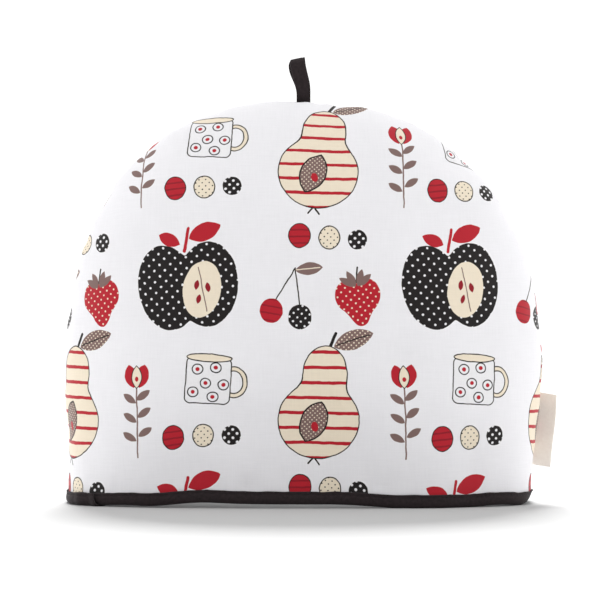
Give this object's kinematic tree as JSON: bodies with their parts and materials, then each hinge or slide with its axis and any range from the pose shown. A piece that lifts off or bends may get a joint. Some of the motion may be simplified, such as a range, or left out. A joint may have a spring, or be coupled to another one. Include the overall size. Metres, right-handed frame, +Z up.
{
  "type": "kettle cosy",
  "caption": "Dome-shaped padded cloth cover that fits over a kettle or teapot, with a bound hem, a hanging loop at the top and a blank side label.",
  "frame": {"origin": "on the surface the cosy stands on, under the middle of its whole width and depth, label included", "axes": "+Z up, +X to the right seen from the front, along the width; the front faces -Y, and Y runs through the depth"},
  "size_m": [0.3112, 0.1456, 0.2823],
  "materials": {
    "printed_cotton": "matt woven cotton, white ground with a red, charcoal, cream and taupe print",
    "charcoal_tape": "matt woven cotton tape",
    "cream_tape": "fine woven tape with a slight sheen"
  },
  "bodies": {
    "root": {"front_panel": "printed_cotton", "back_panel": "printed_cotton", "hem_binding": "charcoal_tape", "hanging_loop": "charcoal_tape", "label": "cream_tape"}
  },
  "joints": []
}
